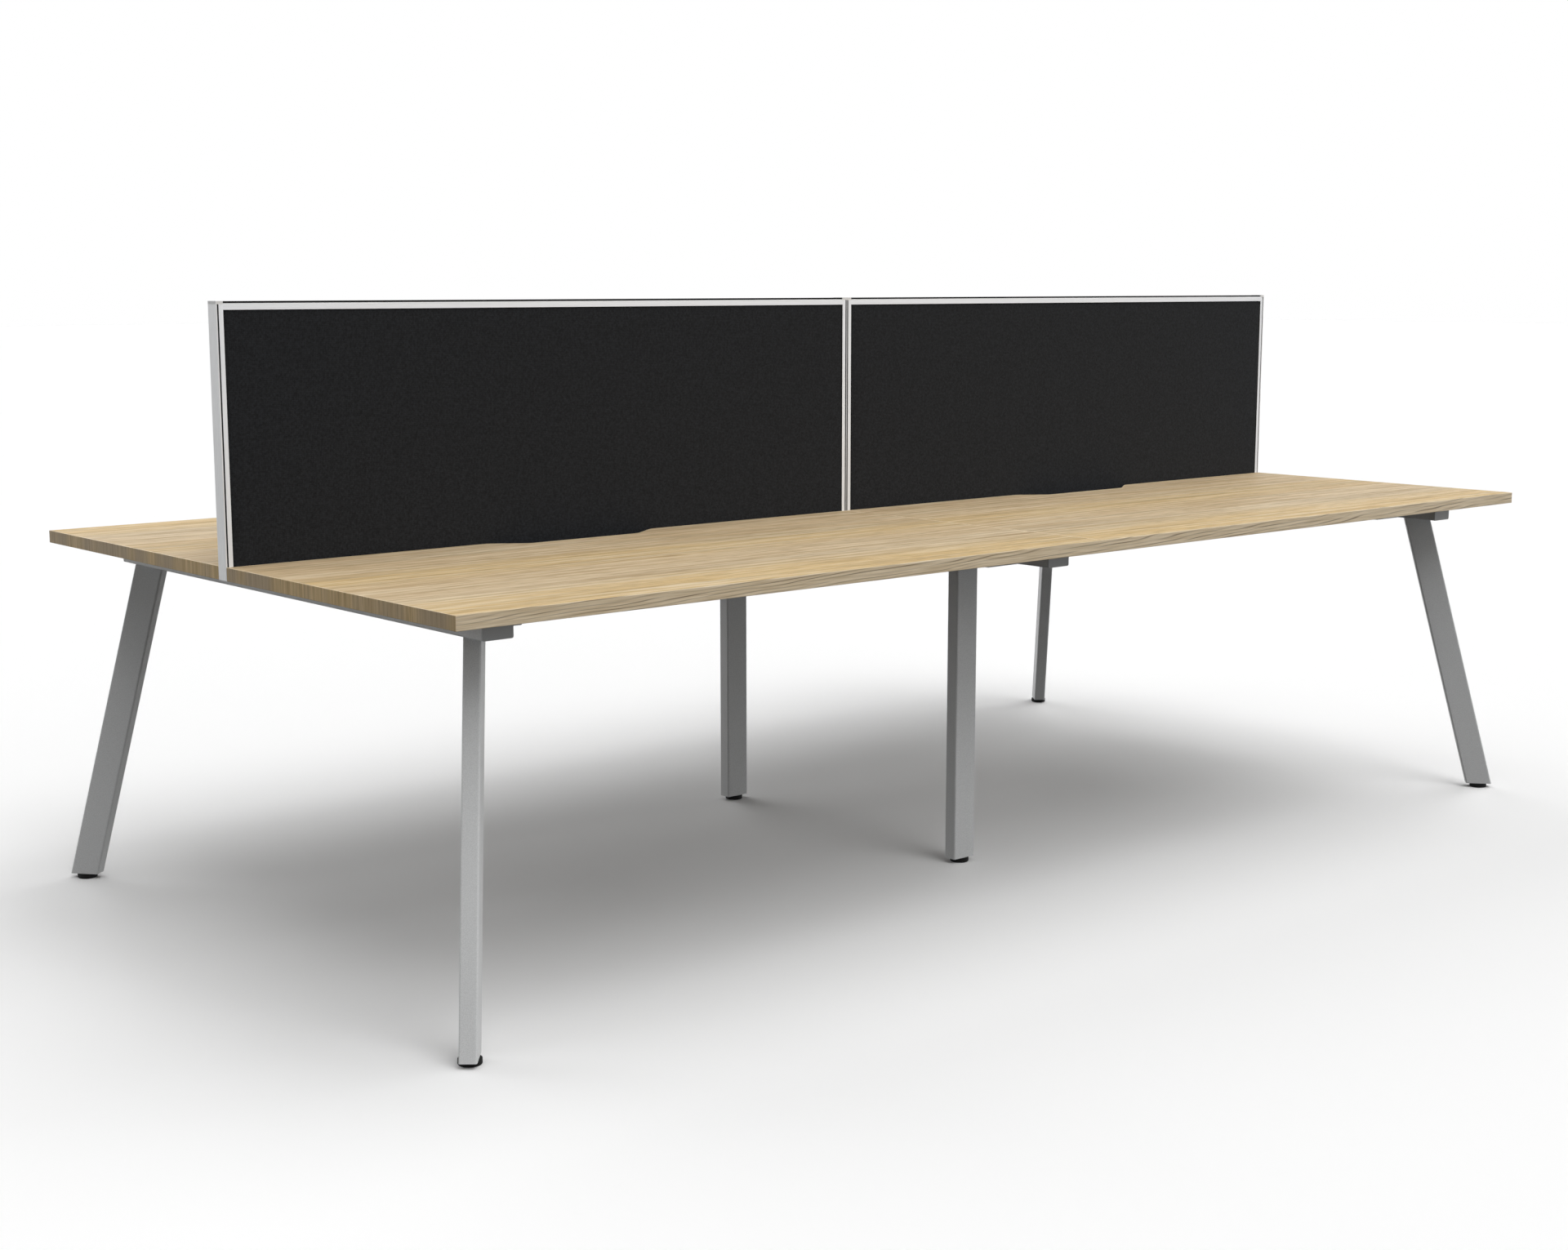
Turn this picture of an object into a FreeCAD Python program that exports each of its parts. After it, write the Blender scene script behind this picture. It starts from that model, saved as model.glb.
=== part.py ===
import FreeCAD, Part
import math
import os

os.makedirs("parts", exist_ok=True)

# A back-to-back desk pod: two bays along X, with a desk on each side of a low fabric screen.
# Millimetres. +X runs along the pod, -Y is the front side, +Z is up.
# The origin is on the floor, under the middle of the screen.

# Pod
bay_length = 1500.0
top_depth = 750.0
desk_height = 730.0
screen_height = 1200.0
cut_overrun = 5.0

# Desktops, each with a cable scallop in its back edge
top_thickness = 25.0
edging_thickness = 2.0
edging_radius = 1.0
scallop_mouth = 400.0
scallop_floor = 264.0
scallop_depth = 48.0
scallop_radius = 30.0

# Cross beams under the tops
beam_width = 60.0
beam_height = 40.0
beam_wall = 2.0
end_beam_setback = 100.0
end_beam_inset = 142.0
middle_beam_setback = 118.0
tube_bend = 1.5
end_plate = 2.0
end_plug_length = 12.0
end_plug_fit = 0.2

# Legs: the corner ones splay outwards, the middle ones are upright
leg_wide = 60.0
leg_narrow = 30.0
leg_wall = 2.0
leg_setback = 69.0
middle_leg_setback = 268.0
splay_tilt = math.radians(15)
splay_heading = math.radians(50)

# Levelling feet
foot_height = 10.0
foot_gap = 0.3
pad_radius = 20.0
pad_floor = 3.0
pad_round = 2.5
stud_radius = 4.0
stud_fit = 0.05
stud_reach = 30.0
plug_height = 36.0
plug_fit = 0.2

# Rails along the pod, telescoped into sleeves on the beams
rail_setback = 121.0
rail_wall = 2.0
rail_fit = 0.25
rail_end_gap = 1.0
sleeve_length = 85.0
sleeve_wall = 2.0

# Screen frame
screen_thickness = 30.0
screen_clearance = 1.0
stile_face = 8.5
stile_web = 2.5
rail_face = 11.5
rail_web = 7.0
frame_lip = 2.0
groove_width = 3.0
groove_depth = 6.0
slot_half = 3.2
end_trim = 2.3
joiner_width = 2.4
rib_half = 3.0
rib_depth = 1.2
strip_height = 3.5
strip_inset = 2.5
cap_height = 6.0
cap_rise = 0.8
cap_round = 0.8

# Screen panels
fabric_thickness = 1.0
panel_fit = 0.25

# Plates that tie the front and rear tops together and hold the screen down
plate_length = 80.0
plate_reach = 70.0
plate_thickness = 3.0
plate_offset = 375.0
plate_screw_x = 25.0
plate_screw_y = 45.0

# Screws: radius and height of the head, radius of the shank, and bite into what they hold
top_screw = {"head": 4.5, "height": 3.0, "shank": 2.5, "bite": 18.0}
plate_screw = {"head": 4.0, "height": 2.5, "shank": 2.0, "bite": 15.0}
screen_bolt = {"head": 5.0, "height": 4.0, "shank": 3.0, "bite": 6.0}
rail_screw = {"head": 4.5, "height": 3.0, "shank": 2.5, "bite": 4.5}
corner_screw = {"head": 2.75, "height": 1.6, "shank": 1.5, "bite": 15.0}
drive_share = 0.55
drive_depth_share = 0.5
driver_hole_radius = 6.0
top_screw_near_y = 150.0
top_screw_far_setback = 186.0
corner_screw_edge = 2.2
rail_screw_shares = (0.3, 0.7)

# Places that follow from the sizes above
half_screen = screen_thickness / 2
back_edge = half_screen + screen_clearance
front_edge = back_edge + top_depth
top_underside = desk_height - top_thickness
beam_underside = top_underside - beam_height
beam_middle_z = top_underside - beam_height / 2
end_beam_half = front_edge - end_beam_setback
middle_beam_half = front_edge - middle_beam_setback
end_beam_x = bay_length - end_beam_inset
leg_head_y = end_beam_half - leg_setback
middle_leg_y = middle_beam_half - middle_leg_setback
rail_y = end_beam_half - rail_setback
top_screw_far_y = end_beam_half - top_screw_far_setback
sleeve_size = beam_height
rail_size = sleeve_size - 2 * (sleeve_wall + rail_fit)
cap_underside = screen_height - cap_height
strip_top = screen_height - cap_rise
frame_top = strip_top - strip_height
lower_web_top = top_underside + rail_web
upper_web_underside = frame_top - rail_web
inner_face = joiner_width / 2
outer_face = bay_length - end_trim
frame_reach = groove_width + stile_face
panel_half = half_screen - frame_lip - panel_fit
core_half = panel_half - fabric_thickness

along_x = FreeCAD.Vector(1, 0, 0)
along_y = FreeCAD.Vector(0, 1, 0)
up = FreeCAD.Vector(0, 0, 1)
sides = {"front": -1, "rear": 1}
bays = {"left": -1, "right": 1}
frames = {"left": -1, "middle": 0, "right": 1}


def point(x, y, z):
    return FreeCAD.Vector(x, y, z)


def save(node, solids):
    shape = solids[0] if len(solids) == 1 else Part.makeCompound(solids)
    shape.exportStep(os.path.join("parts", node + ".step"))


# Shapes that several pieces share

def box(x_span, y_span, z_span):
    spans = (x_span, y_span, z_span)
    sizes = [abs(span[1] - span[0]) for span in spans]
    corner = [min(span) for span in spans]
    return Part.makeBox(sizes[0], sizes[1], sizes[2], point(*corner))


def rod(start, direction, radius, length):
    return Part.makeCylinder(radius, length, start, direction)


def rounded_outline(centre, across, along, width, height, radius):
    half_width = width / 2
    half_height = height / 2
    flat_width = half_width - radius
    flat_height = half_height - radius
    bulge = radius * math.sqrt(0.5)

    def at(u, v):
        return centre + across * u + along * v

    corners = []
    for sign_u, sign_v in ((1, 1), (-1, 1), (-1, -1), (1, -1)):
        on_side = at(sign_u * half_width, sign_v * flat_height)
        on_end = at(sign_u * flat_width, sign_v * half_height)
        middle = at(sign_u * (flat_width + bulge), sign_v * (flat_height + bulge))
        first, last = (on_side, on_end) if sign_u == sign_v else (on_end, on_side)
        corners.append((first, middle, last))

    edges = []
    for corner, following in zip(corners, corners[1:] + corners[:1]):
        edges.append(Part.Arc(*corner).toShape())
        edges.append(Part.makeLine(corner[2], following[0]))
    return Part.Wire(edges)


def bar(centre, across, along, width, height, radius, path):
    outline = rounded_outline(centre, across, along, width, height, radius)
    return Part.Face(outline).extrude(path)


def tube(centre, across, along, width, height, wall, path):
    outside = bar(centre, across, along, width, height, tube_bend + wall, path)
    inside = bar(centre, across, along, width - 2 * wall, height - 2 * wall, tube_bend, path)
    return outside.cut(inside)


def screw(seat, direction, sizes, grip):
    # The head lies behind the seat, and the shank runs through the grip into the bite.
    head = rod(seat, direction * -1, sizes["head"], sizes["height"])
    shank = rod(seat, direction, sizes["shank"], grip + sizes["bite"])
    socket_depth = sizes["height"] * drive_depth_share
    socket_start = seat - direction * (sizes["height"] + cut_overrun)
    socket = hexagon(socket_start, direction, sizes["head"] * drive_share, cut_overrun + socket_depth)
    return head.fuse(shank).cut(socket).removeSplitter()


def hexagon(start, direction, radius, length):
    first = along_y if direction.cross(along_x).Length == 0 else along_x
    second = direction.cross(first)
    corners = []
    for step in range(7):
        turn = step * math.pi / 3
        corners.append(start + (first * math.cos(turn) + second * math.sin(turn)) * radius)
    return Part.Face(Part.makePolygon(corners)).extrude(direction * length)


# Desktops and their edging

def top_outline(bay, side, inset):
    # Outline of a top, drawn inset from its edge: u along the pod, v from the back edge to the front.
    half_length = bay_length / 2 - inset
    run = (scallop_mouth - scallop_floor) / 2
    lean = math.atan2(scallop_depth, run)
    ease = scallop_radius * math.tan(lean / 2)
    mouth_u = scallop_mouth / 2 + ease
    floor_u = scallop_floor / 2 - ease
    floor_v = scallop_depth - scallop_radius
    mouth_radius = scallop_radius - inset
    floor_radius = scallop_radius + inset

    def at(u, v):
        return point(bay * bay_length / 2 + u, side * (back_edge + v), top_underside)

    def mouth_corner(sign):
        # Where the back edge rounds into the slope.
        return [at(sign * (mouth_u - mouth_radius * math.sin(turn)),
                   scallop_radius - mouth_radius * math.cos(turn)) for turn in (0, lean / 2, lean)]

    def floor_corner(sign):
        # Where the slope rounds into the scallop's floor.
        return [at(sign * (floor_u + floor_radius * math.sin(turn)),
                   floor_v + floor_radius * math.cos(turn)) for turn in (lean, lean / 2, 0)]

    corners = [mouth_corner(-1), floor_corner(-1), floor_corner(1)[::-1], mouth_corner(1)[::-1]]
    back_left = at(-half_length, inset)
    front_left = at(-half_length, top_depth - inset)
    front_right = at(half_length, top_depth - inset)
    back_right = at(half_length, inset)
    edges = []
    reached = back_left
    for corner in corners:
        edges.append(Part.makeLine(reached, corner[0]))
        edges.append(Part.Arc(*corner).toShape())
        reached = corner[-1]
    for corner in (back_right, front_right, front_left, back_left):
        edges.append(Part.makeLine(reached, corner))
        reached = corner
    return Part.Wire(edges)


def top_prism(bay, side, inset):
    return Part.Face(top_outline(bay, side, inset)).extrude(up * top_thickness)


def top_screw_places(bay, side):
    beam_lines = (bay * end_beam_x, bay * beam_width / 4)
    return [(x, side * y) for x in beam_lines for y in (top_screw_near_y, top_screw_far_y)]


def plate_centres(bay):
    return [bay * bay_length / 2 + sign * plate_offset for sign in (-1, 1)]


def plate_screw_places(bay, side):
    lines = [x + sign * plate_screw_x for x in plate_centres(bay) for sign in (-1, 1)]
    return [(x, side * plate_screw_y) for x in lines]


def desktop(bay, side):
    board = top_prism(bay, side, edging_thickness)
    pilots = [rod(point(x, y, top_underside), up, top_screw["shank"], top_screw["bite"])
              for x, y in top_screw_places(bay, side)]
    pilots += [rod(point(x, y, top_underside), up, plate_screw["shank"], plate_screw["bite"])
               for x, y in plate_screw_places(bay, side)]
    return board.cut(Part.makeCompound(pilots))


def edging(bay, side):
    # The strip glued round a top, with its outer edges eased.
    outside = top_prism(bay, side, 0)
    rims = [edge for edge in outside.Edges if edge.BoundBox.ZLength < edging_radius]
    return outside.makeFillet(edging_radius, rims).cut(top_prism(bay, side, edging_thickness))


# Leg frames

def beam_half(frame):
    return middle_beam_half if frame == 0 else end_beam_half


def beam(frame):
    x = frame * end_beam_x
    tube_half = beam_half(frame) - end_plate
    start = point(x, -tube_half, beam_middle_z)
    body = tube(start, along_x, up, beam_width, beam_height, beam_wall, along_y * (2 * tube_half))
    holes = []
    for bay in bays.values():
        for side in sides.values():
            for hole_x, hole_y in top_screw_places(bay, side):
                if abs(hole_x - x) > beam_width / 2:
                    continue
                upper = point(hole_x, hole_y, top_underside - beam_wall)
                lower = point(hole_x, hole_y, beam_underside - cut_overrun)
                holes.append(rod(upper, up, top_screw["shank"], beam_wall + cut_overrun))
                holes.append(rod(lower, up, driver_hole_radius, beam_wall + 2 * cut_overrun))
    return body.cut(Part.makeCompound(holes))


def beam_end_caps():
    caps = []
    for frame in frames.values():
        for side in sides.values():
            outer_end = point(frame * end_beam_x, side * beam_half(frame), beam_middle_z)
            tube_end = outer_end - along_y * (side * end_plate)
            plate = bar(outer_end, along_x, up, beam_width, beam_height, tube_bend + beam_wall,
                        along_y * (-side * end_plate))
            shrink = 2 * (beam_wall + end_plug_fit)
            plug = bar(tube_end, along_x, up, beam_width - shrink, beam_height - shrink, tube_bend,
                       along_y * (-side * end_plug_length))
            caps.append(plate.fuse(plug))
    return caps


def leg_line(frame, side):
    # Foot end, head end and the level direction of the leg's wide side.
    if frame == 0:
        foot = point(0, side * middle_leg_y, foot_height)
        head = point(0, side * middle_leg_y, beam_underside)
        return foot, head, along_x
    heading = point(frame * math.cos(splay_heading), side * math.sin(splay_heading), 0)
    head = point(frame * end_beam_x, side * leg_head_y, beam_underside)
    rise = beam_underside - foot_height
    foot = head + heading * (rise * math.tan(splay_tilt)) - up * rise
    return foot, head, heading


def leg(frame, side):
    foot, head, heading = leg_line(frame, side)
    return tube(foot, heading, up.cross(heading), leg_wide, leg_narrow, leg_wall, head - foot)


def foot_plug(frame, side):
    # Moulded into the leg's mouth, with the upright thread for the foot's stud.
    foot, head, heading = leg_line(frame, side)
    shrink = 2 * (leg_wall + plug_fit)
    path = (head - foot) * (plug_height / (head.z - foot.z))
    body = bar(foot, heading, up.cross(heading), leg_wide - shrink, leg_narrow - shrink, tube_bend, path)
    thread = rod(foot - up * cut_overrun, up, stud_radius + stud_fit, plug_height + 2 * cut_overrun)
    return body.cut(thread)


def foot_pad(frame, side):
    foot, head, heading = leg_line(frame, side)
    height = foot_height - foot_gap
    body = rod(point(foot.x, foot.y, 0), up, pad_radius, height)
    rims = [edge for edge in body.Edges if edge.BoundBox.ZMax < pad_round]
    socket = rod(point(foot.x, foot.y, pad_floor), up, stud_radius, height)
    return body.makeFillet(pad_round, rims).cut(socket)


def foot_stud(frame, side):
    foot, head, heading = leg_line(frame, side)
    return rod(point(foot.x, foot.y, pad_floor), up, stud_radius, foot_height + stud_reach - pad_floor)


# Rails along the pod

def sleeve_roots():
    # Where each sleeve leaves a beam, and the way it points.
    roots = []
    for bay in bays.values():
        for side in sides.values():
            roots.append((bay * beam_width / 2, bay, side))
            roots.append((bay * (end_beam_x - beam_width / 2), -bay, side))
    return roots


def rail_screw_seats(x, way, side):
    seat_y = side * (rail_y - sleeve_size / 2)
    return [point(x + way * sleeve_length * share, seat_y, beam_middle_z) for share in rail_screw_shares]


def rail_screw_holes(x, way, side):
    depth = sleeve_wall + rail_screw["bite"]
    return [rod(seat, along_y * side, rail_screw["shank"], depth)
            for seat in rail_screw_seats(x, way, side)]


def sleeve(x, way, side):
    start = point(x, side * rail_y, beam_middle_z)
    body = tube(start, along_y, up, sleeve_size, sleeve_size, sleeve_wall, along_x * (way * sleeve_length))
    return body.cut(Part.makeCompound(rail_screw_holes(x, way, side)))


def rail(bay, side):
    inner_end = beam_width / 2 + rail_end_gap
    outer_end = end_beam_x - beam_width / 2 - rail_end_gap
    start = point(bay * inner_end, side * rail_y, beam_middle_z)
    path = along_x * (bay * (outer_end - inner_end))
    body = tube(start, along_y, up, rail_size, rail_size, rail_wall, path)
    holes = []
    for x, way, sleeve_side in sleeve_roots():
        if x * bay > 0 and sleeve_side == side:
            holes += rail_screw_holes(x, way, side)
    return body.cut(Part.makeCompound(holes))


# Screen

def stile_faces(bay):
    # Outer face of each stile's neck, with the way that it looks.
    return {"inner": (bay * inner_face, -bay), "outer": (bay * outer_face, bay)}


def lip_span(side):
    return (side * (half_screen - frame_lip), side * half_screen)


def corner_screw_heights():
    return (lower_web_top - corner_screw_edge, upper_web_underside + corner_screw_edge)


def stile(face, out):
    z_span = (top_underside, cap_underside)
    neck_end = face - out * groove_width
    web_end = neck_end - out * stile_web
    lip_end = face - out * frame_reach
    body = box((neck_end, web_end), (-half_screen, half_screen), z_span)
    flanges = []
    for side in sides.values():
        neck_span = (side * slot_half, side * (half_screen - groove_depth))
        flanges.append(box((web_end, lip_end), lip_span(side), z_span))
        flanges.append(box((face, neck_end), neck_span, z_span))
    holes = [rod(point(face, 0, z), along_x * -out, corner_screw["shank"], frame_reach)
             for z in corner_screw_heights()]
    return body.multiFuse(flanges).removeSplitter().cut(Part.makeCompound(holes))


def frame_rail(bay, web_span, face_span, screw_z):
    # A rail of the screen frame, between the stiles, with its channel towards the panel.
    x_span = (bay * (inner_face + frame_reach), bay * (outer_face - frame_reach))
    body = box(x_span, (-half_screen, half_screen), web_span)
    lips = [box(x_span, lip_span(side), face_span) for side in sides.values()]
    holes = [rod(point(x_span[0], 0, screw_z), along_x * bay, corner_screw["shank"], corner_screw["bite"]),
             rod(point(x_span[1], 0, screw_z), along_x * -bay, corner_screw["shank"], corner_screw["bite"])]
    return body.multiFuse(lips).removeSplitter().cut(Part.makeCompound(holes))


def top_rail(bay):
    screw_z = corner_screw_heights()[1]
    face_span = (frame_top - rail_face, frame_top)
    return frame_rail(bay, (upper_web_underside, frame_top), face_span, screw_z)


def bottom_rail(bay):
    screw_z = corner_screw_heights()[0]
    face_span = (top_underside, top_underside + rail_face)
    body = frame_rail(bay, (top_underside, lower_web_top), face_span, screw_z)
    holes = [rod(point(x, 0, top_underside), up, screen_bolt["shank"], screen_bolt["bite"])
             for x in plate_centres(bay)]
    return body.cut(Part.makeCompound(holes))


def panel_box(bay, y_span):
    inner = inner_face + groove_width + stile_web + panel_fit
    outer = outer_face - groove_width - stile_web - panel_fit
    z_span = (lower_web_top + panel_fit, upper_web_underside - panel_fit)
    return box((bay * inner, bay * outer), y_span, z_span)


def top_strip(bay):
    x_span = (bay * (inner_face + frame_reach), bay * (outer_face - frame_reach))
    half_width = half_screen - strip_inset
    return box(x_span, (-half_width, half_width), (frame_top, strip_top))


def trim_rib(face, out):
    return box((face, face - out * rib_depth), (-rib_half, rib_half), (top_underside, cap_underside))


def end_cover(bay):
    x_span = (bay * outer_face, bay * bay_length)
    plate = box(x_span, (-half_screen, half_screen), (top_underside, cap_underside))
    return plate.fuse(trim_rib(bay * outer_face, bay)).removeSplitter()


def joiner():
    plate = box((-inner_face, inner_face), (-half_screen, half_screen), (top_underside, cap_underside))
    ribs = [trim_rib(bay * inner_face, -bay) for bay in bays.values()]
    return plate.multiFuse(ribs).removeSplitter()


def top_caps():
    x_spans = [(-inner_face - frame_reach, inner_face + frame_reach)]
    x_spans += [(bay * (outer_face - frame_reach), bay * bay_length) for bay in bays.values()]
    caps = []
    for x_span in x_spans:
        cap = box(x_span, (-half_screen, half_screen), (cap_underside, screen_height))
        upper = [edge for edge in cap.Edges if edge.BoundBox.ZMin > screen_height - cap_round]
        caps.append(cap.makeFillet(cap_round, upper))
    return caps


def joining_plate(x):
    z_span = (top_underside - plate_thickness, top_underside)
    half_length = plate_length / 2
    plate = box((x - half_length, x + half_length), (-plate_reach, plate_reach), z_span)
    places = [(x + sign * plate_screw_x, side * plate_screw_y, plate_screw)
              for sign in (-1, 1) for side in sides.values()]
    places.append((x, 0, screen_bolt))
    holes = [rod(point(hole_x, hole_y, z_span[0]), up, sizes["shank"], plate_thickness)
             for hole_x, hole_y, sizes in places]
    return plate.cut(Part.makeCompound(holes))


# Screws, each kind a group of its own

def top_screws():
    seat_z = top_underside - beam_wall
    return [screw(point(x, y, seat_z), up, top_screw, beam_wall)
            for bay in bays.values() for side in sides.values() for x, y in top_screw_places(bay, side)]


def plate_screws():
    seat_z = top_underside - plate_thickness
    return [screw(point(x, y, seat_z), up, plate_screw, plate_thickness)
            for bay in bays.values() for side in sides.values() for x, y in plate_screw_places(bay, side)]


def screen_bolts():
    seat_z = top_underside - plate_thickness
    return [screw(point(x, 0, seat_z), up, screen_bolt, plate_thickness)
            for bay in bays.values() for x in plate_centres(bay)]


def rail_screws():
    return [screw(seat, along_y * side, rail_screw, sleeve_wall)
            for x, way, side in sleeve_roots() for seat in rail_screw_seats(x, way, side)]


def corner_screws():
    screws = []
    for bay in bays.values():
        for face, out in stile_faces(bay).values():
            for z in corner_screw_heights():
                seat = point(face - out * groove_width, 0, z)
                screws.append(screw(seat, along_x * -out, corner_screw, stile_face))
    return screws


for side_name, side in sides.items():
    for bay_name, bay in bays.items():
        place = side_name + "_" + bay_name
        save("desktop_" + place, [desktop(bay, side)])
        save("edging_" + place, [edging(bay, side)])
        save("rail_" + place, [rail(bay, side)])
        save("fabric_" + place, [panel_box(bay, (side * core_half, side * panel_half))])
    for frame_name, frame in frames.items():
        place = side_name + "_" + frame_name
        save("leg_" + place, [leg(frame, side)])
        save("foot_pad_" + place, [foot_pad(frame, side)])
        save("foot_stud_" + place, [foot_stud(frame, side)])

for bay_name, bay in bays.items():
    save("screen_core_" + bay_name, [panel_box(bay, (-core_half, core_half))])
    save("screen_top_rail_" + bay_name, [top_rail(bay)])
    save("screen_bottom_rail_" + bay_name, [bottom_rail(bay)])
    for stile_name, (face, out) in stile_faces(bay).items():
        save("screen_" + stile_name + "_stile_" + bay_name, [stile(face, out)])

for frame_name, frame in frames.items():
    save("beam_" + frame_name, [beam(frame)])

save("beam_end_caps", beam_end_caps())
save("foot_plugs", [foot_plug(frame, side) for frame in frames.values() for side in sides.values()])
save("rail_sleeves", [sleeve(x, way, side) for x, way, side in sleeve_roots()])
save("screen_joiner", [joiner()])
save("screen_end_covers", [end_cover(bay) for bay in bays.values()])
save("screen_top_strips", [top_strip(bay) for bay in bays.values()])
save("screen_top_caps", top_caps())
save("joining_plates", [joining_plate(x) for bay in bays.values() for x in plate_centres(bay)])
save("top_screws", top_screws())
save("plate_screws", plate_screws())
save("screen_bolts", screen_bolts())
save("rail_screws", rail_screws())
save("corner_screws", corner_screws())
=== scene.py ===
import math
import bmesh
import bpy
from mathutils import Euler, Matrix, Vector


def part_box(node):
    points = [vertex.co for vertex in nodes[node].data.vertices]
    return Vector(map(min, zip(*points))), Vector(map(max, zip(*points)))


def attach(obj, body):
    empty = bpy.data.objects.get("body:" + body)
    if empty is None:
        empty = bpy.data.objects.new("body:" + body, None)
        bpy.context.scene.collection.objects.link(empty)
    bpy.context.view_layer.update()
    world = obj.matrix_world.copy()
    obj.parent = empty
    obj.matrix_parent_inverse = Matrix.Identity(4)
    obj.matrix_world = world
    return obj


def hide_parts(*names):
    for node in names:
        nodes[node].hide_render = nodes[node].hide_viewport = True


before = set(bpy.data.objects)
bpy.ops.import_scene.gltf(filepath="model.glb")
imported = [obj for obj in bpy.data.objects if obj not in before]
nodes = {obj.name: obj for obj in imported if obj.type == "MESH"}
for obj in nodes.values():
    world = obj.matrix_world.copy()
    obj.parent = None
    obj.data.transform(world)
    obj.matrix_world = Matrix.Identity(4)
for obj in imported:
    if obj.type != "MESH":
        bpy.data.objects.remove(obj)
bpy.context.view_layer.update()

# Back-to-back desk pod: oak-look tops on a silver frame, with a black fabric screen down the middle.
# Metres. +X runs along the pod, -Y is the front side, +Z is up, the floor is at zero.

scene = bpy.context.scene
print("frame loaded:", len(nodes), "CAD nodes")


# Helpers

def hexColour(code):
    # sRGB hex to the linear values that a shader takes
    linear = []
    for start in (1, 3, 5):
        value = int(code[start:start + 2], 16) / 255
        linear.append(value / 12.92 if value <= 0.04045 else ((value + 0.055) / 1.055) ** 2.4)
    return (*linear, 1.0)


def addNode(tree, kind, settings=None, links=None):
    # Stops are the colours of a ramp. Any other setting goes to the socket of that name or number,
    # or else to the node itself.
    node = tree.nodes.new("ShaderNode" + kind)
    for name, value in (settings or {}).items():
        if name == "stops":
            ramp = node.color_ramp.elements
            for stop, (where, colour) in zip((ramp[0], ramp[1]), (value[0], value[-1])):
                stop.position = where
                stop.color = hexColour(colour)
            for where, colour in value[1:-1]:
                ramp.new(where).color = hexColour(colour)
        elif isinstance(name, int) or name in node.inputs:
            node.inputs[name].default_value = value
        else:
            setattr(node, name, value)
    for name, socket in (links or {}).items():
        tree.links.new(socket, node.inputs[name])
    return node


# the sockets of a Mix node that carry colour
mixA = 6
mixB = 7
mixOut = 2


def newMaterial(name, shaderSettings):
    material = bpy.data.materials.new(name)
    material.use_nodes = True
    tree = material.node_tree
    tree.nodes.clear()
    shader = addNode(tree, "BsdfPrincipled", shaderSettings)
    addNode(tree, "OutputMaterial", links={"Surface": shader.outputs["BSDF"]})
    place = addNode(tree, "TexCoord").outputs["Object"]
    return material, tree, shader, place


def perMetre(millimetres):
    # the scale that repeats a pattern once every so many millimetres
    return 1000 / millimetres


def grain(tree, place, sizesMm, detail, roughness=0.5):
    # noise whose grains are so many millimetres long on each axis
    stretched = addNode(tree, "Mapping", {"Scale": [perMetre(size) for size in sizesMm]}, {"Vector": place})
    noise = addNode(tree, "TexNoise", {"Scale": 1.0, "Detail": detail, "Roughness": roughness},
                    {"Vector": stretched.outputs[0]})
    return noise.outputs["Fac"]


def twoToneGrain(tree, place, sizesMm, detail, tones, roughness=0.5):
    # the noise seldom leaves the range from 0.3 to 0.7, so the dark and the light tone stand there
    pattern = grain(tree, place, sizesMm, detail, roughness)
    ramp = addNode(tree, "ValToRGB", {"stops": [(0.3, tones[0]), (0.7, tones[1])]}, {"Fac": pattern})
    return pattern, ramp.outputs["Color"]


def layer(tree, under, pattern, first, full, strength, colour):
    # a colour laid over what is under it, where the pattern passes from first to full
    amount = addNode(tree, "MapRange", {"From Min": first, "From Max": full, "To Max": strength},
                     {"Value": pattern})
    laid = addNode(tree, "Mix", {"data_type": "RGBA", mixB: hexColour(colour)},
                   {0: amount.outputs[0], mixA: under})
    return laid.outputs[mixOut]


def dress(tree, shader, colour, gloss=None, relief=None):
    # gloss is a pattern with the roughness at its two ends, relief a pattern with its strength and depth
    tree.links.new(colour, shader.inputs["Base Color"])
    if gloss:
        pattern, low, high = gloss
        roughness = addNode(tree, "MapRange", {"To Min": low, "To Max": high}, {"Value": pattern})
        tree.links.new(roughness.outputs[0], shader.inputs["Roughness"])
    if relief:
        pattern, strength, depth = relief
        bump = addNode(tree, "Bump", {"Strength": strength, "Distance": depth}, {"Height": pattern})
        tree.links.new(bump.outputs["Normal"], shader.inputs["Normal"])


def paint(material, *prefixes):
    for name, obj in nodes.items():
        if name.startswith(prefixes):
            obj.data.materials.clear()
            obj.data.materials.append(material)


# Oak decor on the boards

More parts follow.
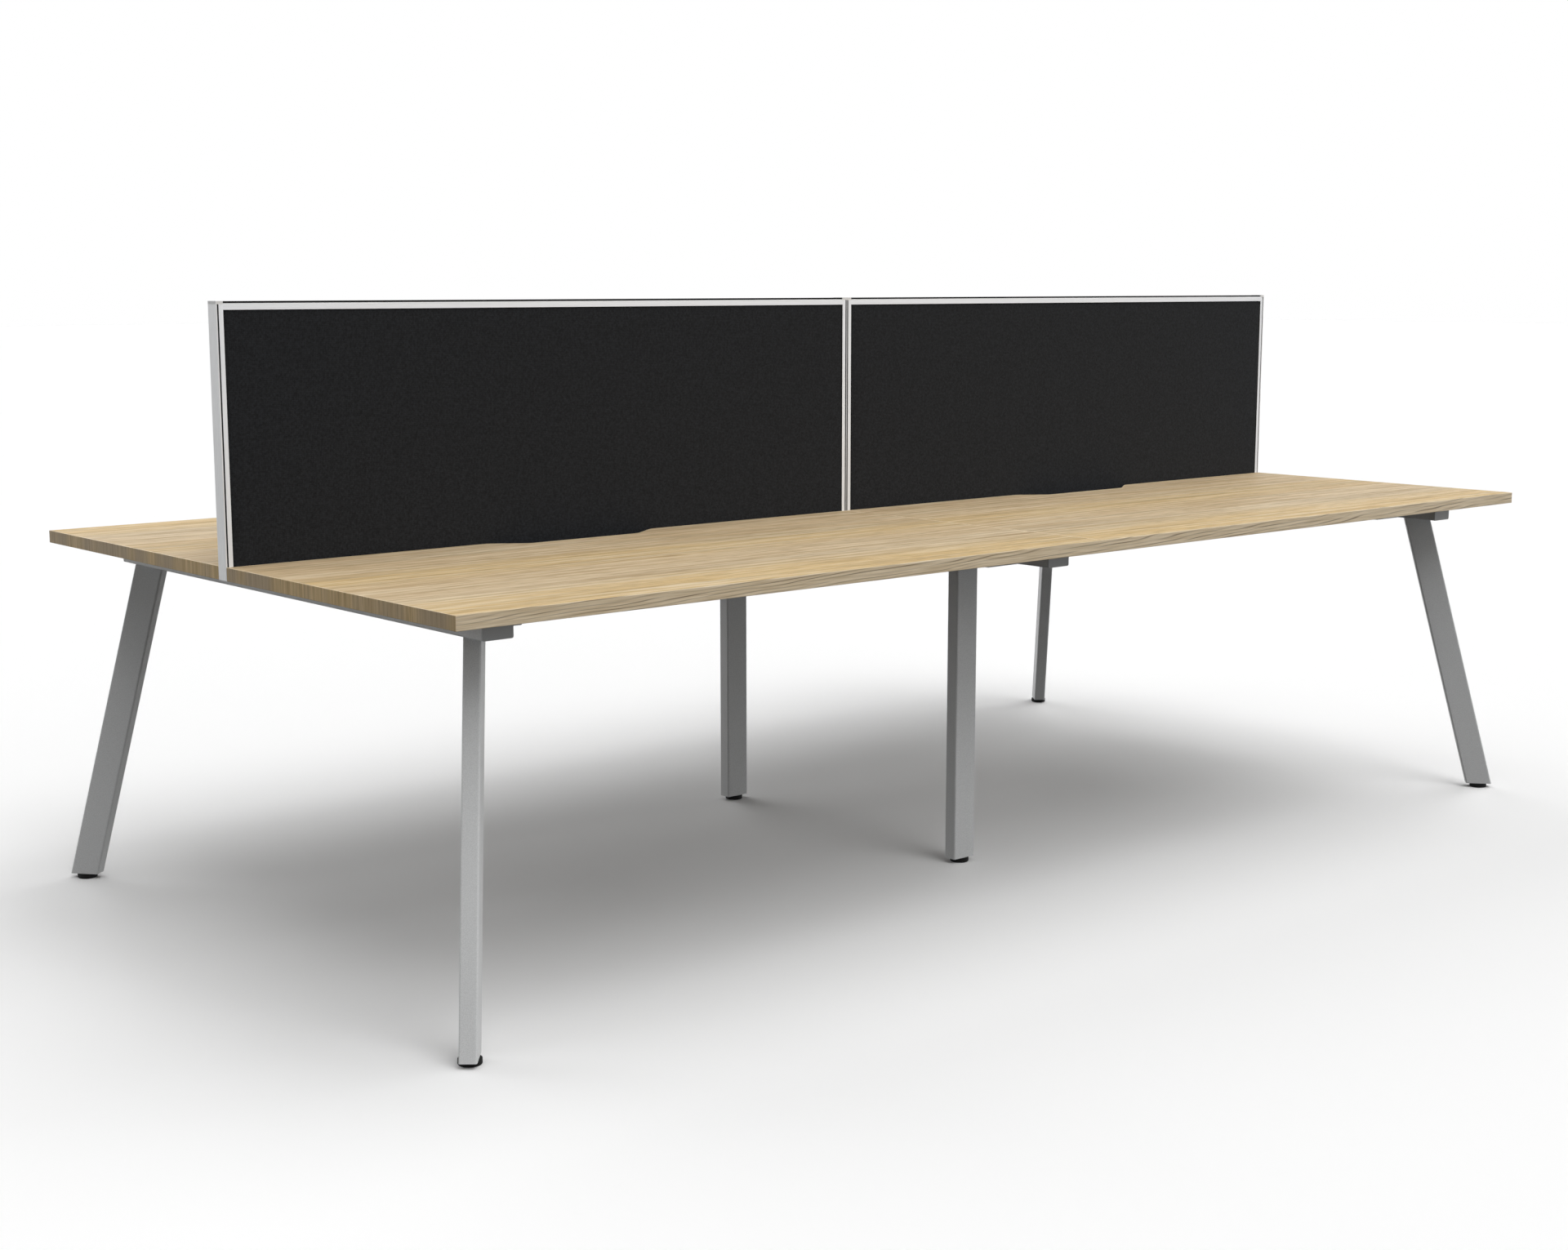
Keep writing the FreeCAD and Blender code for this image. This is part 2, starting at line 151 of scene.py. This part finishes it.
oakTop = {
    "printShift": 5.0,        # how far apart on the print the left and right boards are cut
    "tan": "#d0b792",
    "gold": "#d7ba87",
    "grey": "#d0bb9b",
    "paleLine": "#e7d6b8",
    "darkLine": "#a3875f",
    "greyLine": "#aa9a80",
    "pore": "#86704f",
    # which ground tone runs where, by share of the way from the back edge to the front one
    "bands": [(0.0, "tan"), (0.28, "tan"), (0.4, "gold"), (0.56, "tan"), (0.74, "grey"), (0.9, "gold")],
    "bandDrift": 0.07,        # how far a band wanders to each side along the board, as such a share
    # length and width of each kind of streak in mm, and the detail of its noise
    "streaks": {
        "wander": (900, 120, 2.0),
        "broad": (800, 34, 2.0),
        "lines": (520, 14, 2.0),
        "fine": (260, 5, 2.0),
        "flecks": (55, 8, 1.0),
        "pores": (45, 1.6, 1.0),
    },
    "streakRoughness": 0.55,
    # kind of streak, the noise at which its colour starts and is full, its strength and its colour
    "layers": [
        ("broad", 0.52, 0.30, 0.45, "greyLine"),
        ("lines", 0.50, 0.72, 0.75, "paleLine"),
        ("lines", 0.47, 0.27, 0.75, "darkLine"),
        ("fine", 0.52, 0.75, 0.60, "paleLine"),
        ("fine", 0.46, 0.27, 0.65, "darkLine"),
        ("flecks", 0.56, 0.78, 0.40, "paleLine"),
        ("flecks", 0.44, 0.22, 0.38, "pore"),
        ("pores", 0.40, 0.25, 0.50, "pore"),
    ],
    "gloss": (0.46, 0.62),
    "relief": (0.12, 0.0002),
}


def oakMelamine():
    # Melamine board printed with straight oak: long bands of tan, gold and grey, crossed by many thin
    # pale and dark lines along the grain and by short flecks, on a satin face with faint pores.
    # The real lines are 1 to 3 mm wide: they are drawn at 5 to 14 mm, or the picture would lose them.
    material, tree, shader, place = newMaterial("oak_melamine", {"IOR": 1.5, "Specular IOR Level": 0.05})
    axes = addNode(tree, "SeparateXYZ", links={0: place})
    # the rear boards are the front ones turned round
    side = addNode(tree, "Math", {"operation": "SIGN"}, {0: axes.outputs["Y"]})
    along = addNode(tree, "Math", {"operation": "MULTIPLY"}, {0: axes.outputs["X"], 1: side.outputs[0]})
    across = addNode(tree, "Math", {"operation": "ABSOLUTE"}, {0: axes.outputs["Y"]})
    isRight = addNode(tree, "Math", {"operation": "GREATER_THAN", 1: 0.0}, {0: along.outputs[0]})
    shifted = addNode(tree, "Math", {"operation": "MULTIPLY_ADD", 1: oakTop["printShift"]},
                      {0: isRight.outputs[0], 2: along.outputs[0]})
    board = addNode(tree, "CombineXYZ",
                    links={"X": shifted.outputs[0], "Y": across.outputs[0], "Z": axes.outputs["Z"]})

    streaks = {}
    for kind, (lengthMm, widthMm, detail) in oakTop["streaks"].items():
        streaks[kind] = grain(tree, board.outputs[0], (lengthMm, widthMm, widthMm), detail,
                              oakTop["streakRoughness"])

    frontEdge, backEdge = (-corner[1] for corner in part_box("edging_front_left"))
    share = addNode(tree, "MapRange", {"From Min": backEdge, "From Max": frontEdge},
                    {"Value": across.outputs[0]})
    drift = addNode(tree, "MapRange", {"To Min": -oakTop["bandDrift"], "To Max": oakTop["bandDrift"]},
                    {"Value": streaks["wander"]})
    moved = addNode(tree, "Math", {"operation": "ADD"}, {0: share.outputs[0], 1: drift.outputs[0]})
    stops = [(where, oakTop[tone]) for where, tone in oakTop["bands"]]
    bands = addNode(tree, "ValToRGB", {"stops": stops}, {"Fac": moved.outputs[0]})

    colour = bands.outputs["Color"]
    for kind, first, full, strength, tone in oakTop["layers"]:
        colour = layer(tree, colour, streaks[kind], first, full, strength, oakTop[tone])
    dress(tree, shader, colour, (streaks["fine"], *oakTop["gloss"]), (streaks["pores"], *oakTop["relief"]))
    return material


oakEdge = {
    "longPale": "#f8e6c8",
    "longDark": "#dac4a0",
    "longLine": "#7d6243",
    "lineSpacingMm": 7,       # between the dark lines, up the strip
    "lineRiseMm": 140,        # length over which a line climbs by one spacing
    "lineBend": 3.6,          # how many spacings a line may stray
    "lineReach": 0.2,         # from a line's middle to where it begins to show, in spacings
    "lineCore": 0.02,         # from its middle to where it is darkest
    "lineFaint": 0.05,        # strength of a line's faint stretches
    "lineStrong": 0.85,
    "endPale": "#dcc08e",
    "endDark": "#b0935f",
    "endGrey": "#a3927a",
    "endLine": "#7b6342",
    "darkAt": 0.3,            # the noise at which the dark tone stands
    "paleAt": 0.66,
    # length of each pattern's grains along X, Y and Z in mm, and the detail of its noise
    "patterns": {
        "lineBend": ((380, 900, 40), 2.0),
        "lineFade": ((220, 900, 9), 1.0),
        "longGrain": ((90, 90, 3), 3.0),
        "endGrain": ((30, 7, 200), 2.0),
        "endThread": ((30, 3.5, 120), 2.0),
        "endStretch": ((900, 85, 900), 1.0),
    },
    "patternRoughness": 0.6,
    # on the short ends: pattern, the noise at which its colour starts and is full, its strength and colour
    "endLayers": [
        ("endStretch", 0.45, 0.62, 0.70, "endGrey"),
        ("endThread", 0.44, 0.30, 0.75, "endLine"),
    ],
    "relief": (0.15, 0.0002),
}


def oakEdging():
    # Edging strip printed with oak: long dark lines that climb slowly along the front,
    # and upright streaks on the short ends, gold in some stretches and grey in others.
    material, tree, shader, place = newMaterial("oak_edging", {"Roughness": 0.45, "IOR": 1.5,
                                                               "Specular IOR Level": 0.2})
    axes = addNode(tree, "SeparateXYZ", links={0: place})
    patterns = {}
    for kind, (sizesMm, detail) in oakEdge["patterns"].items():
        patterns[kind] = grain(tree, place, sizesMm, detail, oakEdge["patternRoughness"])

    # long sides: dark lines by height, bent by a slow noise, strong in some stretches and faint in others
    climb = addNode(tree, "Math", {"operation": "MULTIPLY", 1: perMetre(oakEdge["lineRiseMm"])},
                    {0: axes.outputs["X"]})
    height = addNode(tree, "Math", {"operation": "MULTIPLY_ADD", 1: -perMetre(oakEdge["lineSpacingMm"])},
                     {0: axes.outputs["Z"], 2: climb.outputs[0]})
    bent = addNode(tree, "Math", {"operation": "MULTIPLY_ADD", 1: oakEdge["lineBend"]},
                   {0: patterns["lineBend"], 2: height.outputs[0]})
    fromLine = addNode(tree, "Math", {"operation": "PINGPONG", 1: 0.5}, {0: bent.outputs[0]})
    strength = addNode(tree, "MapRange", {"From Min": 0.36, "From Max": 0.64,
                                          "To Min": oakEdge["lineFaint"], "To Max": oakEdge["lineStrong"]},
                       {"Value": patterns["lineFade"]})
    amount = addNode(tree, "MapRange", {"From Min": oakEdge["lineReach"], "From Max": oakEdge["lineCore"]},
                     {"Value": fromLine.outputs[0], "To Max": strength.outputs[0]})
    longStops = [(oakEdge["darkAt"], oakEdge["longDark"]), (oakEdge["paleAt"], oakEdge["longPale"])]
    longTone = addNode(tree, "ValToRGB", {"stops": longStops}, {"Fac": patterns["longGrain"]})
    longSide = addNode(tree, "Mix", {"data_type": "RGBA", mixB: hexColour(oakEdge["longLine"])},
                       {0: amount.outputs[0], mixA: longTone.outputs["Color"]})

    endStops = [(oakEdge["darkAt"], oakEdge["endDark"]), (oakEdge["paleAt"], oakEdge["endPale"])]
    endTone = addNode(tree, "ValToRGB", {"stops": endStops}, {"Fac": patterns["endGrain"]})
    shortEnd = endTone.outputs["Color"]
    for kind, first, full, depth, tone in oakEdge["endLayers"]:
        shortEnd = layer(tree, shortEnd, patterns[kind], first, full, depth, oakEdge[tone])

    # a face belongs to a short end where its normal lies mostly along X
    facing = addNode(tree, "NewGeometry")
    normal = addNode(tree, "SeparateXYZ", links={0: facing.outputs["Normal"]})
    turned = addNode(tree, "Math", {"operation": "ABSOLUTE"}, {0: normal.outputs["X"]})
    isEnd = addNode(tree, "Math", {"operation": "GREATER_THAN", 1: 0.7}, {0: turned.outputs[0]})
    colour = addNode(tree, "Mix", {"data_type": "RGBA"},
                     {0: isEnd.outputs[0], mixA: longSide.outputs[mixOut], mixB: shortEnd})
    dress(tree, shader, colour.outputs[mixOut], relief=(patterns["longGrain"], *oakEdge["relief"]))
    return material


# Metal finishes

powderCoat = {
    "tones": ("#dfe0e0", "#f0f1f1"),
    "grainMm": 1.5,
    "skinMm": 3.0,
    "gloss": (0.38, 0.52),
    "relief": (0.1, 0.0002),
}


def silverPowderCoat():
    # Silver polyester powder over steel: an even pale grey with a fine grain and an orange-peel skin.
    # The real grains are under 0.1 mm, so they are drawn at 1.5 mm to show.
    material, tree, shader, place = newMaterial("silver_powder_coat", {"Specular IOR Level": 0.5})
    grains, colour = twoToneGrain(tree, place, [powderCoat["grainMm"]] * 3, 2.0, powderCoat["tones"])
    skin = grain(tree, place, [powderCoat["skinMm"]] * 3, 2.0)
    dress(tree, shader, colour, (grains, *powderCoat["gloss"]), (skin, *powderCoat["relief"]))
    return material


screenFrame = {
    # dark and light tone of each finish
    "anodised_stiles": ("#eef0f3", "#f6f8fb"),
    # painted shade: the joiner is toned darker than the stiles, for the shade of its place set back between
    # the screens
    "joiner_in_painted_shade": ("#bebfc1", "#cacbcd"),
    "anodised_rails": ("#eef0f3", "#f6f8fb"),
    # painted shade: the end covers are a little darker than the stiles, for the dimmer light on the ends of
    # the screens
    "end_covers_in_painted_shade": ("#e4e5e6", "#eeeff0"),
    # painted shade: the colour laid over every face inside the channels, standing in for the shade there
    "channel": "#3c3d3e",
    "channelStart": 0.0003,   # how far behind a face the painted shade in the channels begins
    # how far the drawing lines run on each axis, in mm
    "upright": (2, 2, 90),
    "level": (90, 2, 2),
    "gloss": (0.34, 0.48),
    "relief": (0.08, 0.0001),
}


def anodisedAluminium(name, direction, paintChannelShade):
    # Satin anodised extrusion: pale silver with fine drawing lines along each length.
    # Inside the channels the colour is much darker: this is painted shade for the recesses between the
    # sections, not raw metal or dust.
    # The real drawing lines are far finer than 2 mm, and are drawn at that to show.
    material, tree, shader, place = newMaterial(name, {"Metallic": 0.2})
    drawn, colour = twoToneGrain(tree, place, screenFrame[direction], 3.0, screenFrame[name])
    # painted shade: every face set back from the front and back faces takes the dark colour
    if paintChannelShade:
        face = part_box("screen_top_rail_left")[1][1]
        axes = addNode(tree, "SeparateXYZ", links={0: place})
        depth = addNode(tree, "Math", {"operation": "ABSOLUTE"}, {0: axes.outputs["Y"]})
        inPaintedShade = addNode(tree, "Math", {"operation": "LESS_THAN", 1: face - screenFrame["channelStart"]},
                         {0: depth.outputs[0]})
        withPaintedShade = addNode(tree, "Mix", {"data_type": "RGBA", mixB: hexColour(screenFrame["channel"])},
                         {0: inPaintedShade.outputs[0], mixA: colour})
        colour = withPaintedShade.outputs[mixOut]
    dress(tree, shader, colour, (drawn, *screenFrame["gloss"]), (drawn, *screenFrame["relief"]))
    return material


zincPlate = {
    "tones": ("#a9abad", "#c4c5c3"),
    "cloudMm": 4,
    "gloss": (0.28, 0.45),
}


def zincPlatedSteel():
    # Bright zinc plate on screws and studs: cool grey metal, cloudy and a little rough.
    material, tree, shader, place = newMaterial("zinc_plated_steel", {"Metallic": 1.0})
    clouds, colour = twoToneGrain(tree, place, [zincPlate["cloudMm"]] * 3, 3.0, zincPlate["tones"])
    dress(tree, shader, colour, (clouds, *zincPlate["gloss"]))
    return material


# Moulded plastics and raw board

plastic = {
    # tones, roughness and specular level of each colour
    "black_abs": (("#040404", "#0a0a0a"), 0.6, 0.15),
    "grey_abs": (("#c6c8ca", "#d0d2d4"), 0.5, 0.5),
    "pale_abs": (("#f2f2f2", "#fafafa"), 0.45, 0.5),
    "grainMm": 1.2,
    "roughnessSpread": 0.08,
    "relief": (0.2, 0.0001),
}


def mouldedPlastic(name):
    # Injection-moulded ABS with a spark-eroded mould skin: nearly even colour, fine satin grain.
    tones, roughness, specular = plastic[name]
    material, tree, shader, place = newMaterial(name, {"IOR": 1.5, "Specular IOR Level": specular})
    skin, colour = twoToneGrain(tree, place, [plastic["grainMm"]] * 3, 2.0, tones)
    spread = plastic["roughnessSpread"]
    dress(tree, shader, colour, (skin, roughness - spread, roughness + spread), (skin, *plastic["relief"]))
    return material


fibreboard = {
    "tones": ("#7c6448", "#94795a"),
    "fibreMm": 3,
    "relief": (0.3, 0.0003),
}


def rawFibreboard():
    # Uncoated fibreboard inside the screens: even brown with short pressed fibres and no shine.
    material, tree, shader, place = newMaterial("raw_fibreboard",
                                                {"Roughness": 0.9, "Specular IOR Level": 0.1})
    fibres, colour = twoToneGrain(tree, place, [fibreboard["fibreMm"]] * 3, 5.0, fibreboard["tones"], 0.7)
    dress(tree, shader, colour, relief=(fibres, *fibreboard["relief"]))
    return material


# Screen fabric

cloth = {
    "tones": ("#111214", "#2f3135"),
    "gap": "#0a0b0c",
    "fuzzMm": 4,
    "threadMm": 2.5,
    "relief": (0.4, 0.0004),
    "crown": 0.0012,          # how far the middle swells past the tucked edge
    "tuckWidth": 0.03,        # width over which it swells, from the tucked edge
    "columns": 120,
    "rows": 40,
    "thickness": 0.0008,
}


def blackScreenCloth():
    # Woven polyester screen cloth: matt black with a dry, slightly felted face.
    # The real threads are under 1 mm, so the weave is drawn at 2.5 mm to show.
    material, tree, shader, place = newMaterial("black_screen_cloth", {
        "Roughness": 0.95, "Sheen Weight": 0.06, "Sheen Roughness": 0.5, "Specular IOR Level": 0.2})
    colour = twoToneGrain(tree, place, [cloth["fuzzMm"]] * 3, 3.0, cloth["tones"], 0.7)[1]
    # a wave texture of scale 1 repeats 10 / pi times a metre
    threads = {"Scale": perMetre(cloth["threadMm"]) * math.pi / 10, "Distortion": 1.0, "Detail": 2.0}
    warp = addNode(tree, "TexWave", {"bands_direction": "X", **threads}, {"Vector": place})
    weft = addNode(tree, "TexWave", {"bands_direction": "Z", **threads}, {"Vector": place})
    weave = addNode(tree, "Math", {"operation": "MULTIPLY"},
                    {0: warp.outputs["Fac"], 1: weft.outputs["Fac"]})
    # the gaps between the threads are darker
    colour = layer(tree, colour, weave.outputs[0], 0.5, 0.0, 0.45, cloth["gap"])
    dress(tree, shader, colour, relief=(weave.outputs[0], *cloth["relief"]))
    return material


def swellingGrid(low, high, side):
    # a grid over the frame's opening, tucked in along its edges and swelling to an even middle
    face = high.y if side > 0 else low.y
    mesh = bmesh.new()
    bmesh.ops.create_grid(mesh, x_segments=cloth["columns"], y_segments=cloth["rows"], size=0.5)
    for vert in mesh.verts:
        x = low.x + (vert.co.x + 0.5) * (high.x - low.x)
        z = low.z + (vert.co.y + 0.5) * (high.z - low.z)
        inset = min(x - low.x, high.x - x, z - low.z, high.z - z)
        rise = min(inset / cloth["tuckWidth"], 1.0)
        swell = cloth["crown"] * rise * rise * (3 - 2 * rise)
        vert.co = (x, face + side * (swell - cloth["thickness"]), z)
    bmesh.ops.recalc_face_normals(mesh, faces=mesh.faces)
    return mesh


def stretchCloth(node, material):
    # One face of a screen: cloth pulled over the core board, swelling a little inside the frame.
    low, high = (Vector(corner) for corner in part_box(node))
    side = 1 if low.y > 0 else -1
    mesh = swellingGrid(low, high, side)
    data = bpy.data.meshes.new(node.replace("fabric", "cloth"))
    mesh.to_mesh(data)
    mesh.free()
    piece = bpy.data.objects.new(data.name, data)
    scene.collection.objects.link(piece)
    data.materials.append(material)
    data.shade_smooth()
    if data.polygons[0].normal.y * side < 0:
        data.flip_normals()
    wall = piece.modifiers.new("thickness", "SOLIDIFY")
    wall.thickness = cloth["thickness"]
    wall.offset = 1.0
    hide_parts(node)
    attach(piece, "pod")


# Finishes on the CAD nodes

paint(oakMelamine(), "desktop_")
paint(oakEdging(), "edging_")
paint(silverPowderCoat(), "beam_left", "beam_middle", "beam_right", "leg_", "rail_front", "rail_rear",
      "rail_sleeves", "joining_plates")
paint(anodisedAluminium("anodised_stiles", "upright", True), "screen_inner", "screen_outer")
# the joiner's darker tones are painted shade for its recess
paint(anodisedAluminium("joiner_in_painted_shade", "upright", True), "screen_joiner")
paint(anodisedAluminium("anodised_rails", "level", True), "screen_top_rail", "screen_bottom_rail")
# the end covers' darker tones are painted shade for the dimmer light on the ends
paint(anodisedAluminium("end_covers_in_painted_shade", "upright", False), "screen_end_covers")
paint(mouldedPlastic("black_abs"), "foot_pad", "foot_plugs", "screen_top_strips")
paint(mouldedPlastic("grey_abs"), "beam_end_caps")
paint(mouldedPlastic("pale_abs"), "screen_top_caps")
paint(rawFibreboard(), "screen_core")
paint(zincPlatedSteel(), "foot_stud", "top_screws", "plate_screws", "screen_bolts", "rail_screws",
      "corner_screws")
print("finishes on the CAD nodes")

screenCloth = blackScreenCloth()
fabricNodes = [name for name in nodes if name.startswith("fabric_")]
for name in fabricNodes:
    stretchCloth(name, screenCloth)
print("cloth on the screens")


# Floor, light and camera

studio = {
    "floorHalf": 60.0,
    "floorSeen": "#ffffff",
    "floorBounce": "#404040",
    "lampWidth": 45,          # degrees across: wide lamps keep the shadows soft
    # strength, then elevation and heading from +X in degrees
    "lamps": {
        "left_fill": (0.22, 8, 180),
        "front_fill": (0.22, 8, -90),
        "front_right_fill": (0.44, 8, -45),
        "right_fill": (0.78, 8, 0),
        "rear_left_fill": (0.54, 8, 135),
        "front_softbox": (0.44, 40, -90),
        "rear_softbox": (0.74, 40, 90),
        "left_high_softbox": (0.36, 60, 180),
        "front_high_softbox": (1.02, 60, -90),
        "right_high_softbox": (0.97, 60, 0),
    },
}


def seenDirectly(tree):
    # 1 where the camera sees the surface itself, or sees it in metal or glass
    path = addNode(tree, "LightPath")
    shiny = addNode(tree, "Math", {"operation": "MAXIMUM"},
                    {0: path.outputs["Is Camera Ray"], 1: path.outputs["Is Glossy Ray"]})
    clear = addNode(tree, "Math", {"operation": "MAXIMUM"},
                    {0: shiny.outputs[0], 1: path.outputs["Is Transmission Ray"]})
    return clear.outputs[0]


def studioFloor():
    # White paper to the eye. What it bounces on to the pod is darker, so that the underside stays in shade.
    mesh = bmesh.new()
    bmesh.ops.create_grid(mesh, x_segments=1, y_segments=1, size=studio["floorHalf"])
    data = bpy.data.meshes.new("studio_floor")
    mesh.to_mesh(data)
    mesh.free()
    floor = bpy.data.objects.new("studio_floor", data)
    scene.collection.objects.link(floor)
    material, tree, shader = newMaterial("studio_paper", {"Roughness": 0.9, "Specular IOR Level": 0.0})[:3]
    seen = addNode(tree, "Mix", {"data_type": "RGBA", mixA: hexColour(studio["floorBounce"]),
                                 mixB: hexColour(studio["floorSeen"])}, {0: seenDirectly(tree)})
    dress(tree, shader, seen.outputs[mixOut])
    data.materials.append(material)


def studioWorld():
    # White to the eye and in reflections. It gives the pod no other light.
    world = bpy.data.worlds.new("studio_dome")
    scene.world = world
    world.use_nodes = True
    tree = world.node_tree
    tree.nodes.clear()
    dome = addNode(tree, "Background", {"Color": (1, 1, 1, 1)}, {"Strength": seenDirectly(tree)})
    addNode(tree, "OutputWorld", links={"Surface": dome.outputs[0]})


def studioLamps():
    for name, (strength, elevation, heading) in studio["lamps"].items():
        lamp = bpy.data.lights.new(name, "SUN")
        lamp.energy = strength
        lamp.angle = math.radians(studio["lampWidth"])
        softbox = bpy.data.objects.new(name, lamp)
        softbox.rotation_euler = Euler((math.radians(90 - elevation), 0, math.radians(heading + 90)))
        scene.collection.objects.link(softbox)


camera = {
    "place": (-3.26115, -3.55067, 1.22956),
    "pitch": -8.964,          # degrees, below level where negative
    "heading": -41.04,        # degrees from +Y, to the right where negative
    "lens": 49.697,
    "sensor": 36.0,
    "farthest": 200,
}


def photoCamera():
    data = bpy.data.cameras.new("photo_camera")
    data.sensor_fit = "HORIZONTAL"
    data.sensor_width = camera["sensor"]
    data.lens = camera["lens"]
    data.clip_end = camera["farthest"]
    view = bpy.data.objects.new("photo_camera", data)
    view.location = camera["place"]
    view.rotation_euler = (math.radians(90 + camera["pitch"]), 0, math.radians(camera["heading"]))
    scene.collection.objects.link(view)
    scene.camera = view


studioFloor()
studioWorld()
studioLamps()
photoCamera()
scene.view_settings.view_transform = "Standard"
print("floor, light and camera")
